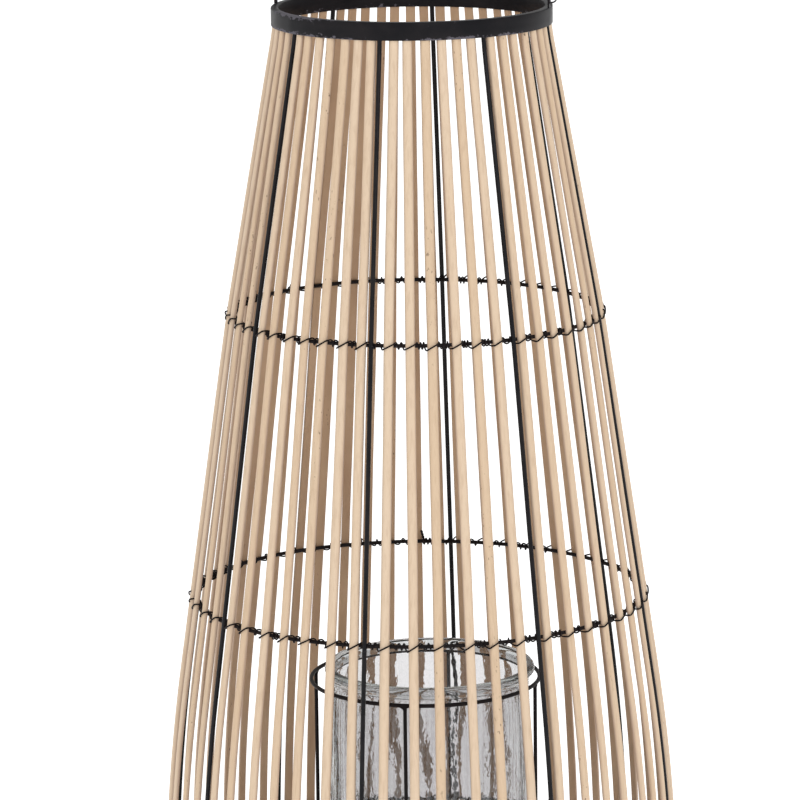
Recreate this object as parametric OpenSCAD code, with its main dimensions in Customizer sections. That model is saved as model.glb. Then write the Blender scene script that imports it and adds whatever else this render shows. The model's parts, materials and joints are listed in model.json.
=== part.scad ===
// Bamboo stick lantern: a cage of split canes bound to wire rings, with a glass in a wire cradle.
// Millimetres, +Z up, origin at the centre of the foot, the handle's hinge along X.

/* [Cage] */
// Height from the floor to the top edge of the top band
cage_h = 660; // [640:5:700]
// Outer diameter of the top band
top_d = 158; // [150:1:170]
// Height of the steel bands at the top and the foot
band_h = 10; // [8:1:14]
// Thickness of a band's strip
strip_t = 0.8; // [0.6:0.1:1]
// Lean of the canes from the vertical, from the top band to the upper ring
upper_lean = 10.1; // [9:0.1:11]
// Lean of the canes around the middle ring
middle_lean = 8.3; // [7.5:0.1:9]
// Distance between neighbouring wire rings
ring_pitch = 163; // [155:1:168]

/* [Canes] */
// Width of a split cane
cane_w = 5.5; // [5:0.1:5.7]
// Thickness of a split cane
cane_t = 2.6; // [2.6:0.1:3]
// Number of canes in a wide bay
wide_bay = 7; // [6:1:7]
// Number of canes in a narrow bay
narrow_bay = 6; // [5:1:6]

/* [Steel] */
// Diameter of the eight upright bars
upright_d = 2.6; // [2.2:0.1:2.6]
// Wire diameter of the rings inside the canes
ring_wire = 2.2; // [2:0.1:2.4]
// Wire diameter of the binding
tie_wire = 0.9; // [0.7:0.1:1]
// Width of the two flat bars across the foot
base_bar_w = 16; // [16:1:20]

/* [Cradle and glass] */
// Height of the cradle ring above the floor
cradle_z = 273; // [265:1:280]
// Radius of the cradle ring's wire centre
cradle_r = 65.4; // [65:0.1:68]
// Wire diameter of the cradle ring and its bars
cradle_wire = 2.3; // [2:0.1:2.6]
// Height of the plate that the glass stands on
plate_z = 134; // [130:1:138]
// Outer radius of the glass's rolled rim
rim_r = 60.5; // [59:0.1:61]
// Thickness of the glass
glass_t = 3; // [2.5:0.1:3.5]

/* [Handle] */
// Height of the hinge line above the top edge of the band
hinge_rise = 3.2; // [3:0.1:4]
// Height of the arch's crown above the hinge line
bail_rise = 198; // [195:1:210]
// Wire diameter of the bail
bail_wire = 2.2; // [2:0.1:2.4]
// Wire diameter of the jump rings
jump_wire = 0.96; // [0.9:0.02:1]

/* [Hidden] */
$fn = 96;
fit = 0.06;
// Cane outer face inside the top band
cane_top_r = top_d / 2 - strip_t - fit;
ring_z = [for (i = [1:3]) cage_h - band_h / 2 - 6 - i * ring_pitch];

// Heights down the side and the canes' lean there: sin(lean) runs evenly between two of them,
// so each stretch is a straight line or one arc that is tangent to the next
widest_z = ring_z[2];
bend_z = 280;
side = [
    [cage_h, 0],
    [cage_h - band_h, 0],
    [cage_h - band_h - 4, upper_lean],
    [ring_z[0] + 14, upper_lean],
    [ring_z[0] - 14, middle_lean],
    [bend_z, middle_lean],
    [widest_z, 2],
    [band_h + 4, -14.5],
    [band_h, 0],
    [0, 0]
];
last_span = len(side) - 2;

function mix(a, b, t) = a + (b - a) * t;
function lean_in(z, i) =
    asin(mix(sin(side[i][1]), sin(side[i + 1][1]), (side[i][0] - z) / (side[i][0] - side[i + 1][0])));
function span_at(z, i = 0) = z >= side[i + 1][0] || i == last_span ? i : span_at(z, i + 1);
function lean_at(z) = lean_in(z, span_at(z));
// Radius of the canes' outer face at a height
function side_r(z, i = 0, r = cane_top_r) =
    z >= side[i + 1][0] || i == last_span
    ? r + (side[i][0] - z) * tan((side[i][1] + lean_in(z, i)) / 2)
    : side_r(z, i + 1, r + (side[i][0] - side[i + 1][0]) * tan((side[i][1] + side[i + 1][1]) / 2));

// Heights at which an outline down the side needs a point
arc_step = 22;
top_gap = 3;
foot_gap = 0.5;
span_cuts = [
    for (i = [0:last_span])
        side[i][1] == side[i + 1][1] ? 1 : max(1, ceil((side[i][0] - side[i + 1][0]) / arc_step))
];
side_z = [
    cage_h - top_gap,
    for (i = [0:last_span], k = [1:span_cuts[i]])
        if (i < last_span || k < span_cuts[i]) mix(side[i][0], side[i + 1][0], k / span_cuts[i]),
    foot_gap
];

// Canes stand in eight bays between the uprights
bays = 8;
bay_angle = 360 / bays;
wide_edge = 2.75;
narrow_edge = 4.9;
lean_pivot_z = ring_z[1];
// How far each upright was set off its even place by hand, in degrees
upright_off = [0, 2.3, 4.6, 4.1, 0, 1.2, 0, -1.2, 0];
function upright_angle(i) = i * bay_angle + upright_off[i];
is_wide = [false, true, true, false, false, true, false, true];
function bay_count(bay) = is_wide[bay] ? wide_bay : narrow_bay;
function bay_edge(bay) = is_wide[bay] ? wide_edge : narrow_edge;
function bay_pitch(bay) =
    (upright_angle(bay + 1) - upright_angle(bay) - 2 * bay_edge(bay)) / (bay_count(bay) - 1);
function at_edge(bay, k) = k == 0 || k == bay_count(bay) - 1;
// Each cane is set a little off its even place, and leans a little to one side
function cane_wobble(bay, k) = at_edge(bay, k) ? 0 : 0.5 * sin(137.5 * (7 * bay + k));
function cane_tilt(bay, k) =
    k == 0 ? 0.2 : k == bay_count(bay) - 1 ? -0.2 : 0.16 * sin(222.5 * (7 * bay + k) + 40);
function cane_angle(bay, k) =
    upright_angle(bay) + bay_edge(bay) + k * bay_pitch(bay) + cane_wobble(bay, k);
// Angle at which a cane crosses a height
function cane_angle_at(bay, k, z) =
    cane_angle(bay, k) + atan((z - lean_pivot_z) * tan(cane_tilt(bay, k)) / side_r(z));

// Radius of a ring's wire centre, touching the canes' flat inner faces
function ring_r(z) = side_r(z) - cane_t - ring_wire / 2 / cos(lean_at(z)) - 0.02;
// Radius of the uprights' centre, touching the outside of the rings
function upright_r(z) = side_r(z) - cane_t + upright_d / 2;

foot_r = side_r(0);
top_inner_r = cane_top_r - cane_t;
foot_inner_r = foot_r - cane_t;
foot_clear_r = foot_inner_r - strip_t;

// Cradle: hand-bent, so it sits a little off the middle and its bars are not quite square
cradle_shift = [3.3, 0.8];
cradle_bar_angles = [-4, 91, 178, 273];
plate_t = 1.2;
base_bar_t = 2;
base_bar_z = 2;
bead_r = 1.5;

// Glass: stands a little off the cradle's middle
glass_shift = [5.8, 1.4];
glass_top = cradle_z + 8.5;
glass_neck_r = rim_r - 3.6;
glass_body_r = rim_r - 2;
glass_base_r = rim_r - 9;
glass_floor_t = 6;
rim_wire_r = 3;

// Handle
hinge_z = cage_h + hinge_rise;
lug_t = 1;
lug_x = top_d / 2 - 0.1 - lug_t / 2;
lug_r = 2.2;
lug_hole_r = 1.25;
// The jump rings hang a little outside their lugs, and the bail stands clear of the band
jump_r = 2.72;
jump_out = 1.5;
jump_x = lug_x + jump_out;
jump_z = hinge_z + sqrt(jump_r * jump_r - jump_out * jump_out);
bail_x = top_d / 2 + 0.25 + bail_wire / 2;
eye_r = 2.3;
eye_low = 0.9;
eye_z = jump_z + eye_low + eye_r;
arch_z = hinge_z + bail_rise - bail_x;

// A flat hoop from inner radius to outer radius
module hoop(inner, outer, z, h = band_h) {
    translate([0, 0, z])
        rotate_extrude()
            translate([inner, 0])
                square([outer - inner, h]);
}

// A round wire bent to a circle
module wire_circle(r, wire) {
    rotate_extrude()
        translate([r, 0])
            circle(d = wire);
}

// Triangles between neighbouring rings of a swept tube, closed by caps or joined end to start
function tube_faces(rings, sides, closed) = [
    for (i = [0:rings - (closed ? 1 : 2)], k = [0:sides - 1])
        let (
            a = i * sides + k,
            b = i * sides + (k + 1) % sides,
            c = ((i + 1) % rings) * sides + k,
            d = ((i + 1) % rings) * sides + (k + 1) % sides
        )
        each [[a, c, b], [b, c, d]],
    if (!closed) [for (k = [0:sides - 1]) k],
    if (!closed) [for (k = [sides - 1:-1:0]) (rings - 1) * sides + k]
];

function unit(v) = v / norm(v);
// One ring of points round a path point, square to the path; out points away from the middle
function tube_ring(p, along, out, r, sides) =
    let (
        t = unit(along),
        n = unit(out - t * (out * t)),
        b = cross(t, n)
    )
    [for (k = [0:sides - 1]) p + r * (n * cos(360 * k / sides) + b * sin(360 * k / sides))];

// Uprights
upright_sides = 8;
module upright(i) {
    points = [
        for (z = side_z)
            each tube_ring(
                [upright_r(z), 0, z],
                [-sin(lean_at(z)), 0, cos(lean_at(z))],
                [1, 0, 0],
                upright_d / 2,
                upright_sides
            )
    ];
    color([0.07, 0.07, 0.08])
        rotate([0, 0, upright_angle(i)])
            polyhedron(points, tube_faces(len(side_z), upright_sides, false), convexity = 4);
}

// Canes
module cane(angle, tilt) {
    outline = [
        for (z = side_z) [side_r(z), z],
        for (i = [len(side_z) - 1:-1:0]) [side_r(side_z[i]) - cane_t, side_z[i]]
    ];
    rotate([0, 0, angle])
        translate([0, 0, lean_pivot_z])
            rotate([-tilt, 0, 0])
                translate([0, cane_w / 2, -lean_pivot_z])
                    rotate([90, 0, 0])
                        linear_extrude(cane_w)
                            polygon(outline);
}

module cane_bay(bay) {
    color([0.82, 0.69, 0.53])
        for (k = [0:bay_count(bay) - 1])
            cane(cane_angle(bay, k), cane_tilt(bay, k));
}

// Wire rings, with a weld bead at each upright
module cage_ring(i) {
    z = ring_z[i];
    color([0.06, 0.06, 0.07])
        translate([0, 0, z]) {
            wire_circle(ring_r(z), ring_wire);
            for (k = [0:bays - 1])
                rotate([0, 0, upright_angle(k)])
                    translate([ring_r(z) + ring_wire / 2, 0, 0.4])
                        sphere(bead_r);
        }
}

// Binding wire: one turn round the ring for each cane, rising across the cane's face from one
// side to the other, over the ring, down behind it in the gap and out under it
tie_sides = 5;
tie_gap = 0.05;
tie_out = tie_wire / 2 + tie_gap;
// Corners of the turn behind the ring stand off far enough for its flats to clear the wire
tie_rise = ((ring_wire + tie_wire) / 2 + tie_gap) / cos(30);
all_canes = [for (bay = [0:bays - 1], k = [0:bay_count(bay) - 1]) [bay, k]];
cane_total = len(all_canes);
function angle_of(j, z) =
    cane_angle_at(all_canes[j % cane_total][0], all_canes[j % cane_total][1], z)
    + (j >= cane_total ? 360 : 0);
function at(angle, r, z) = [r * cos(angle), r * sin(angle), z];
function tie_turn(j, z) =
    let (
        r = side_r(z),
        here = angle_of(j, z),
        next = angle_of(j + 1, z),
        edge = asin((cane_w / 2 + 0.5) / r),
        face = asin(0.38 * cane_w / r),
        gap = next - here - 2 * edge
    )
    [
        at(here - edge, r - 0.4, z - tie_rise),
        at(here - face, r + tie_out, z - 0.65 * tie_rise),
        at(here + face, r + tie_out, z + 0.65 * tie_rise),
        at(here + edge, r - 0.4, z + tie_rise),
        at(here + edge + 0.12 * gap, ring_r(z), z + tie_rise),
        at(here + edge + 0.35 * gap, ring_r(z) - tie_rise * cos(30), z + tie_rise / 2),
        at(here + edge + 0.65 * gap, ring_r(z) - tie_rise * cos(30), z - tie_rise / 2),
        at(here + edge + 0.88 * gap, ring_r(z), z - tie_rise)
    ];

module binding(i) {
    z = ring_z[i];
    path = [for (j = [0:cane_total - 1]) each tie_turn(j, z)];
    n = len(path);
    points = [
        for (k = [0:n - 1])
            each tube_ring(
                path[k],
                path[(k + 1) % n] - path[(k + n - 1) % n],
                path[k] - [ring_r(z) * path[k][0], ring_r(z) * path[k][1], 0]
                    / norm([path[k][0], path[k][1]]) - [0, 0, z],
                tie_wire / 2,
                tie_sides
            )
    ];
    color([0.05, 0.05, 0.06])
        polyhedron(points, tube_faces(n, tie_sides, true), convexity = 10);
}

// Flat bars across the foot that carry the cradle
module base_bar(turn, z) {
    color([0.08, 0.08, 0.09])
        intersection() {
            rotate([0, 0, turn])
                translate([-foot_r, -base_bar_w / 2, z])
                    cube([2 * foot_r, base_bar_w, base_bar_t]);
            cylinder(r = foot_clear_r, h = band_h);
        }
}

// Cradle
module cradle_ring() {
    color([0.06, 0.06, 0.07])
        translate([cradle_shift[0], cradle_shift[1], cradle_z]) {
            wire_circle(cradle_r, cradle_wire);
            for (a = cradle_bar_angles)
                rotate([0, 0, a])
                    translate([cradle_r, 0, -1])
                        sphere(bead_r);
        }
}

module cradle_bar(i) {
    foot_z = base_bar_z + base_bar_t * (i % 2 == 0 ? 1 : 2);
    color([0.06, 0.06, 0.07])
        difference() {
            translate([cradle_shift[0], cradle_shift[1], foot_z])
                rotate([0, 0, cradle_bar_angles[i]])
                    translate([cradle_r, 0, 0])
                        cylinder(d = cradle_wire - 0.1, h = cradle_z - foot_z - 0.3);
            translate([cradle_shift[0], cradle_shift[1], cradle_z])
                wire_circle(cradle_r, cradle_wire);
        }
}

module cradle_plate() {
    color([0.08, 0.08, 0.09])
        translate([cradle_shift[0], cradle_shift[1], plate_z - plate_t])
            cylinder(r = cradle_r - cradle_wire / 2, h = plate_t);
}

// Glass: a thick pressed jar with a rolled rim
module glass() {
    wall = [
        [0, plate_z],
        [glass_base_r, plate_z],
        [glass_base_r + 4, plate_z + 2.5],
        [glass_body_r - 0.8, plate_z + 11],
        [glass_body_r, plate_z + 40],
        [glass_body_r - 0.4, cradle_z - 45],
        [glass_neck_r, cradle_z - 4],
        [glass_neck_r + 0.4, glass_top - 1.8 * rim_wire_r],
        [rim_r - rim_wire_r, glass_top - rim_wire_r],
        [glass_neck_r - glass_t + 0.4, glass_top - 1.8 * rim_wire_r],
        [glass_neck_r - glass_t, cradle_z - 4],
        [glass_body_r - glass_t - 0.4, cradle_z - 45],
        [glass_body_r - glass_t, plate_z + 40],
        [glass_body_r - glass_t - 1.2, plate_z + 14],
        [glass_base_r - 2, plate_z + glass_floor_t],
        [0, plate_z + glass_floor_t]
    ];
    color([0.78, 0.77, 0.78, 0.5])
        translate([glass_shift[0], glass_shift[1], 0])
            rotate_extrude()
                union() {
                    polygon(wall);
                    translate([rim_r - rim_wire_r, glass_top - rim_wire_r])
                        circle(rim_wire_r);
                }
}

// Handle
// A tab on the band's top edge, round at the top, with a hole for the jump ring
module handle_lug(side_x) {
    color([0.07, 0.07, 0.08])
        translate([side_x * lug_x - lug_t / 2, 0, hinge_z])
            rotate([90, 0, 90])
                linear_extrude(lug_t)
                    difference() {
                        union() {
                            circle(lug_r);
                            translate([-lug_r, -hinge_rise])
                                square([2 * lug_r, hinge_rise]);
                        }
                        circle(lug_hole_r);
                    }
}

module jump_ring(side_x) {
    color([0.25, 0.25, 0.26])
        translate([side_x * jump_x, 0, jump_z])
            rotate([90, 0, 0])
                wire_circle(jump_r, jump_wire);
}

module bail() {
    color([0.12, 0.12, 0.13]) {
        for (side_x = [-1, 1]) {
            translate([side_x * bail_x, 0, eye_z])
                rotate([0, 90, 0])
                    wire_circle(eye_r, bail_wire);
            translate([side_x * bail_x, 0, eye_z + eye_r])
                cylinder(d = bail_wire, h = arch_z - eye_z - eye_r);
        }
        translate([0, 0, arch_z])
            rotate([90, 0, 0])
                rotate_extrude(angle = 180)
                    translate([bail_x, 0])
                        circle(d = bail_wire);
    }
}

// The top band is folded over the ends of the canes, down to the inner strip
module top_band() {
    inner_edge = top_inner_r - strip_t;
    color([0.09, 0.09, 0.1])
        rotate_extrude()
            polygon([
                [top_d / 2, cage_h - band_h],
                [top_d / 2, cage_h],
                [inner_edge, cage_h],
                [inner_edge, cage_h - strip_t],
                [top_d / 2 - strip_t, cage_h - strip_t],
                [top_d / 2 - strip_t, cage_h - band_h]
            ]);
}

module top_inner_band() {
    color([0.09, 0.09, 0.1])
        hoop(top_inner_r - strip_t, top_inner_r, cage_h - band_h, band_h - strip_t);
}

module foot_band() {
    color([0.09, 0.09, 0.1])
        hoop(foot_r + fit, foot_r + fit + strip_t, 0);
}

module foot_inner_band() {
    color([0.09, 0.09, 0.1])
        hoop(foot_clear_r, foot_inner_r, 0);
}

top_band();
top_inner_band();
foot_band();
foot_inner_band();
upright(0);  // upright_1
upright(1);  // upright_2
upright(2);  // upright_3
upright(3);  // upright_4
upright(4);  // upright_5
upright(5);  // upright_6
upright(6);  // upright_7
upright(7);  // upright_8
cane_bay(0);  // cane_bay_1
cane_bay(1);  // cane_bay_2
cane_bay(2);  // cane_bay_3
cane_bay(3);  // cane_bay_4
cane_bay(4);  // cane_bay_5
cane_bay(5);  // cane_bay_6
cane_bay(6);  // cane_bay_7
cane_bay(7);  // cane_bay_8
cage_ring(0);  // upper_ring
cage_ring(1);  // middle_ring
cage_ring(2);  // lower_ring
binding(0);  // upper_binding
binding(1);  // middle_binding
binding(2);  // lower_binding
base_bar(0, base_bar_z);  // base_bar_x
base_bar(90, base_bar_z + base_bar_t);  // base_bar_y
cradle_ring();
cradle_plate();
cradle_bar(0);  // cradle_bar_1
cradle_bar(1);  // cradle_bar_2
cradle_bar(2);  // cradle_bar_3
cradle_bar(3);  // cradle_bar_4
glass();
handle_lug(1);  // handle_lug_right
handle_lug(-1);  // handle_lug_left
jump_ring(1);  // jump_ring_right
jump_ring(-1);  // jump_ring_left
bail();
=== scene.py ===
# Bamboo stick lantern: canes, bindings, bands, cradle, glass and handle round the fixed frame.
import json
import math
import random

import bmesh
import bpy
from mathutils import Matrix, Vector, noise


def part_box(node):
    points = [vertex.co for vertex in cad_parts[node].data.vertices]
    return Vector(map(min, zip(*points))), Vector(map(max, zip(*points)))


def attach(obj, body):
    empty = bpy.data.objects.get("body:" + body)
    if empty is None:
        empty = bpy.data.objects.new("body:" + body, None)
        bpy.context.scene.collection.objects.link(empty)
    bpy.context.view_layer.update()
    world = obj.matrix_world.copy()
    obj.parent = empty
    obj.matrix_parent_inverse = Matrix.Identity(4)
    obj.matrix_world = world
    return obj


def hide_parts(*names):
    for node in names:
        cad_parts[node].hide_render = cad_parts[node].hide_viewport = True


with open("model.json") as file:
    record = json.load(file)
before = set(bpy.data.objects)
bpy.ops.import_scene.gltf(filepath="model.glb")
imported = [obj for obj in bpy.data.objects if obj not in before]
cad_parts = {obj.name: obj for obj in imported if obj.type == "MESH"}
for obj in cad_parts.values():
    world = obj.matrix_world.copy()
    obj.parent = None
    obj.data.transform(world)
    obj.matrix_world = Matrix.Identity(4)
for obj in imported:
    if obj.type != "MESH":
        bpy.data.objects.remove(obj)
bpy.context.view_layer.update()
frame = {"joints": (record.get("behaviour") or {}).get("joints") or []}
scene = bpy.context.scene
mm = 0.001


def boxOf(node):
    low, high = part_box(node)
    return Vector(low), Vector(high)


# shape of the cage

bandLow, bandHigh = boxOf("top_band")
cage = {
    "height": bandHigh.z,
    "bandHeight": bandHigh.z - bandLow.z,
    "topRadius": bandHigh.x - 0.86 * mm,      # canes' outer face inside the top band
    "upperLean": 10.1,                        # degrees from the vertical
    "middleLean": 8.3,
    "widestLean": 2.0,
    "footLean": -14.5,
    "bendHeight": 280 * mm,
    "topGap": 3.0 * mm,                       # the ends stand inside the bands
    "footGap": 0.5 * mm,
    "bars": 8,                                # uprights, with a bay of canes after each
}
canesTop = cage["height"] - cage["topGap"]
ringNames = ("upper", "middle", "lower")
ringHeights = [sum(corner.z for corner in boxOf(name + "_binding")) / 2 for name in ringNames]

# the cage's side from the top down: height, and lean from the vertical there
sideStations = [
    (cage["height"], 0.0),
    (cage["height"] - cage["bandHeight"], 0.0),
    (cage["height"] - cage["bandHeight"] - 4 * mm, cage["upperLean"]),
    (ringHeights[0] + 14 * mm, cage["upperLean"]),
    (ringHeights[0] - 14 * mm, cage["middleLean"]),
    (cage["bendHeight"], cage["middleLean"]),
    (ringHeights[2], cage["widestLean"]),
    (cage["bandHeight"] + 4 * mm, cage["footLean"]),
    (cage["bandHeight"], 0.0),
    (0.0, 0.0),
]


# between two stations the sine of the lean runs evenly, which makes a line or one arc
def leanIn(z, i):
    (zTop, leanTop), (zLow, leanLow) = sideStations[i], sideStations[i + 1]
    t = (zTop - z) / (zTop - zLow)
    a, b = math.sin(math.radians(leanTop)), math.sin(math.radians(leanLow))
    return math.asin(a + (b - a) * t)


def sideRadius(z):
    r = cage["topRadius"]
    for i in range(len(sideStations) - 1):
        zTop, leanTop = sideStations[i]
        zLow, leanLow = sideStations[i + 1]
        if z >= zLow or i == len(sideStations) - 2:
            return r + (zTop - z) * math.tan((math.radians(leanTop) + leanIn(z, i)) / 2)
        r += (zTop - zLow) * math.tan(math.radians(leanTop + leanLow) / 2)


def sideLean(z):
    for i in range(len(sideStations) - 1):
        if z >= sideStations[i + 1][0] or i == len(sideStations) - 2:
            return leanIn(z, i)


def polar(angle, r, z):
    a = math.radians(angle)
    return Vector((r * math.cos(a), r * math.sin(a), z))


# mesh helpers

def newPiece(name, verts, faces, body, material, replaced):
    mesh = bpy.data.meshes.new(name)
    mesh.from_pydata([tuple(v) for v in verts], [], faces)
    mesh.validate()
    piece = bpy.data.objects.new(name, mesh)
    scene.collection.objects.link(piece)
    mesh.materials.append(material)
    mesh.polygons.foreach_set("use_smooth", [True] * len(mesh.polygons))
    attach(piece, body)
    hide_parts(*replaced)
    return piece


def paintPoints(piece, name, values):
    layer = piece.data.attributes.new(name, "FLOAT_COLOR", "POINT")
    flat = []
    for v in values:
        flat.extend(v)
    layer.data.foreach_set("color", flat)


def sharpenBy(piece, angle):
    mesh = piece.data
    work = bmesh.new()
    work.from_mesh(mesh)
    for e in work.edges:
        if len(e.link_faces) == 2 and e.calc_face_angle(0.0) > math.radians(angle):
            e.smooth = False
    work.to_mesh(mesh)
    work.free()


def addQuadStrip(faces, start, rings, sides, closed):
    for i in range(rings if closed else rings - 1):
        for k in range(sides):
            a = start + i * sides + k
            b = start + i * sides + (k + 1) % sides
            c = start + ((i + 1) % rings) * sides + (k + 1) % sides
            d = start + ((i + 1) % rings) * sides + k
            faces.append((a, b, c, d))


def addTube(verts, faces, path, radius, sides, closed=False, away=None, roundEnds=True):
    # away(point) gives a direction that never lines up with the path, so that the tube doesn't twist
    n = len(path)
    start = len(verts)
    for i, p in enumerate(path):
        if closed:
            along = path[(i + 1) % n] - path[i - 1]
        else:
            along = path[min(i + 1, n - 1)] - path[max(i - 1, 0)]
        along.normalize()
        out = away(p) if away else Vector((0.0, 0.0, 1.0))
        side = (out - along * out.dot(along)).normalized()
        up = along.cross(side)
        r = radius(i / (n - 1)) if callable(radius) else radius
        for k in range(sides):
            a = 2 * math.pi * k / sides
            verts.append(p + side * (r * math.cos(a)) + up * (r * math.sin(a)))
    addQuadStrip(faces, start, n, sides, closed)
    if not closed:
        for end, ring, turn in ((0, start, True), (n - 1, start + (n - 1) * sides, False)):
            tip = path[end].copy()
            inward = (path[1] - path[0]) if end == 0 else (path[-2] - path[-1])
            bulge = 0.35 if roundEnds else 0.0
            verts.append(tip - inward.normalized() * bulge * (verts[ring] - tip).length)
            for k in range(sides):
                a, b = ring + k, ring + (k + 1) % sides
                faces.append((b, a, len(verts) - 1) if turn else (a, b, len(verts) - 1))


def addCarriedTube(verts, faces, path, r, sides):
    # for a path that turns every way: the first direction is carried along, and so doesn't twist
    n = len(path)
    start = len(verts)
    side = None
    for i, p in enumerate(path):
        along = (path[min(i + 1, n - 1)] - path[max(i - 1, 0)]).normalized()
        if side is None:
            side = along.orthogonal().normalized()
        side = (side - along * side.dot(along)).normalized()
        up = along.cross(side)
        for k in range(sides):
            a = 2 * math.pi * k / sides
            verts.append(p + side * (r * math.cos(a)) + up * (r * math.sin(a)))
    addQuadStrip(faces, start, n, sides, False)
    faces.append(tuple(reversed(range(start, start + sides))))
    faces.append(tuple(range(start + (n - 1) * sides, start + n * sides)))


def steady(direction):
    return lambda p: direction


def circlePath(r, z, steps, centre=(0.0, 0.0), wobble=0.0, seed=0.0):
    points = []
    for i in range(steps):
        a = 2 * math.pi * i / steps
        lift = wobble * noise.noise(Vector((3 * math.cos(a), 3 * math.sin(a), seed)))
        push = wobble * noise.noise(Vector((3 * math.cos(a), 3 * math.sin(a), seed + 9.0)))
        points.append(Vector((centre[0] + (r + push) * math.cos(a),
                              centre[1] + (r + push) * math.sin(a), z + lift)))
    return points


def smoothPath(points, cuts, closed):
    # Catmull-Rom through the given points
    n = len(points)
    out = []
    for i in range(n if closed else n - 1):
        if closed:
            p0, p1, p2, p3 = points[i - 1], points[i], points[(i + 1) % n], points[(i + 2) % n]
        else:
            p0, p1 = points[max(i - 1, 0)], points[i]
            p2, p3 = points[i + 1], points[min(i + 2, n - 1)]
        for k in range(cuts):
            t = k / cuts
            out.append(0.5 * (2 * p1 + (p2 - p0) * t + (2 * p0 - 5 * p1 + 4 * p2 - p3) * t * t
                              + (3 * p1 - p0 - 3 * p2 + p3) * t ** 3))
    if not closed:
        out.append(points[-1].copy())
    return out


def addBlob(verts, faces, centre, size, seed, squash=(1.0, 1.0, 1.0)):
    # a small uneven bead of weld metal
    work = bmesh.new()
    bmesh.ops.create_icosphere(work, subdivisions=3, radius=1.0)
    start = len(verts)
    for v in work.verts:
        bump = 1 + 0.22 * noise.noise(v.co * 1.7 + Vector((seed, 0.0, 0.0)))
        verts.append(centre + Vector([v.co[k] * size * bump * squash[k] for k in range(3)]))
    for f in work.faces:
        faces.append([start + v.index for v in f.verts])
    work.free()


# material helpers

class Nodes:
    # a short way to write a node tree: add("Noise", Scale=4.0) and link with (node, "Output")
    def __init__(self, name):
        self.material = bpy.data.materials.new(name)
        self.material.use_nodes = True
        self.tree = self.material.node_tree
        self.tree.nodes.clear()
        self.out = self.tree.nodes.new("ShaderNodeOutputMaterial")

    def add(self, kind, settings=None, **inputs):
        node = self.tree.nodes.new("ShaderNode" + kind)
        for key, value in (settings or {}).items():
            setattr(node, key, value)
        for key, value in inputs.items():
            self.plug(node, key.replace("_", " "), value)
        return node

    def plug(self, node, name, value):
        socket = node.inputs[int(name)] if name.strip().isdigit() else node.inputs[name]
        if isinstance(value, tuple) and value and isinstance(value[0], bpy.types.Node):
            self.tree.links.new(value[0].outputs[value[1]], socket)
        else:
            socket.default_value = value

    def math(self, operation, a, b=0.0, clamp=False):
        node = self.tree.nodes.new("ShaderNodeMath")
        node.operation = operation
        node.use_clamp = clamp
        self.plug(node, "0", a)
        self.plug(node, "1", b)
        return (node, "Value")

    def mix(self, factor, a, b):
        node = self.tree.nodes.new("ShaderNodeMix")
        node.data_type = "RGBA"
        self.plug(node, "0", factor)
        self.plug(node, "6", a)
        self.plug(node, "7", b)
        return (node, 2)

    def ramp(self, value, stops):
        node = self.tree.nodes.new("ShaderNodeValToRGB")
        ramp = node.color_ramp
        while len(ramp.elements) < len(stops):
            ramp.elements.new(0.5)
        for element, (place, color) in zip(ramp.elements, stops):
            element.position = place
            element.color = (*color, 1.0)
        self.plug(node, "Fac", value)
        return (node, "Color")

    def place(self, scale, shift=None):
        coords = self.add("TexCoord")
        vector = (coords, "Object")
        if shift:
            vector = (self.add("VectorMath", {"operation": "ADD"}, **{"0": vector, "1": shift}), "Vector")
        mapping = self.add("Mapping", Vector=vector, Scale=scale)
        return (mapping, "Vector")

    def noise(self, vector, scale, detail=3.0, rough=0.5):
        return (self.add("TexNoise", Vector=vector, Scale=scale, Detail=detail, Roughness=rough), "Fac")

    def finish(self, shader):
        self.tree.links.new(shader.outputs["BSDF"], self.out.inputs["Surface"])
        return self.material


def linear(*screen):
    # colours are written as they look on screen, 0 to 255
    light = [c / 255 / 12.92 if c <= 10 else ((c / 255 + 0.055) / 1.055) ** 2.4 for c in screen]
    return (*light, 1.0)


black, white = (0, 0, 0), (1, 1, 1)
caneLook = {
    "crown": linear(216, 194, 169),
    "crownWarm": linear(206, 180, 150),
    "edge": linear(176, 152, 134),
    # edge: painted shade for the sides of the rounded cane that turn away from the light
    "inner": linear(188, 158, 128),
    # inner faces: the split cane's browner inner side together with painted shade from inside the cage
    "innerDarkAndShade": linear(162, 130, 102),
    "grain": linear(178, 150, 122),
    "fleck": linear(84, 64, 50),
    "roughness": 0.56,
}


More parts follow.
